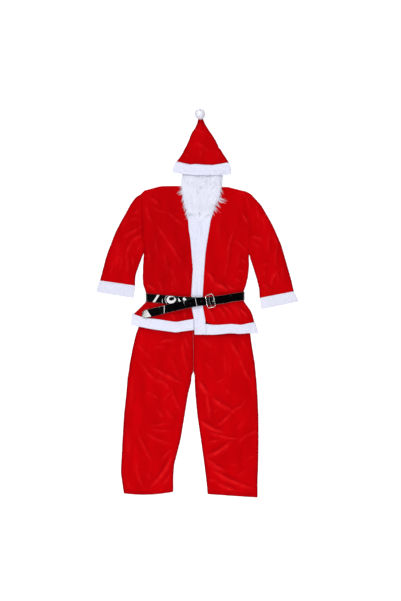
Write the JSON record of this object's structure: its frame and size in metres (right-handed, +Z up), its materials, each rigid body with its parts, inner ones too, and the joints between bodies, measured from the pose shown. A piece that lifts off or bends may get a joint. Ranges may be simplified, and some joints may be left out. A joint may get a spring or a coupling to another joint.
{
  "type": "santa suit laid flat with hat, beard and belt",
  "caption": "Red velour santa suit laid flat: belted jacket and trousers, pointed hat with pompom and white beard, edged in white plush, with a black belt.",
  "frame": {"origin": "centre of the bounding box at the surface the suit lies on", "axes": "+Z up off that surface, +Y from the trouser hems to the hat, -X to the wearer's right"},
  "size_m": [1.0252, 1.9869, 0.0498],
  "materials": {
    "red_velour": "matt short-pile polyester velour with a soft sheen",
    "plush_trim": "short white plush",
    "brim_plush": "padded white plush roll",
    "pompom_hair": "loose white plush locks",
    "beard_hair": "long white synthetic hair",
    "belt_vinyl": "glossy black vinyl",
    "buckle_metal": "bright nickel-plated wire"
  },
  "bodies": {
    "root": {"belt_back": "belt_vinyl", "hem_trim_back": "plush_trim", "neck_trim_back": "plush_trim", "jacket_back": "red_velour", "trouser_leg_right": "red_velour", "trouser_leg_left": "red_velour", "jacket_front_right": "red_velour", "hem_trim_right": "plush_trim", "front_band_right": "plush_trim", "jacket_front_left": "red_velour", "hem_trim_left": "plush_trim", "front_band_left": "plush_trim", "sleeve_right": "red_velour", "cuff_right": "plush_trim", "sleeve_left": "red_velour", "cuff_left": "plush_trim", "beard": "beard_hair", "hat_cone": "red_velour", "hat_brim": "brim_plush", "hat_pompom": "pompom_hair", "belt_front_right": "belt_vinyl", "belt_front_left": "belt_vinyl", "buckle_frame": "buckle_metal", "buckle_bar": "buckle_metal", "buckle_prong": "buckle_metal", "belt_keeper": "buckle_metal"}
  },
  "joints": []
}
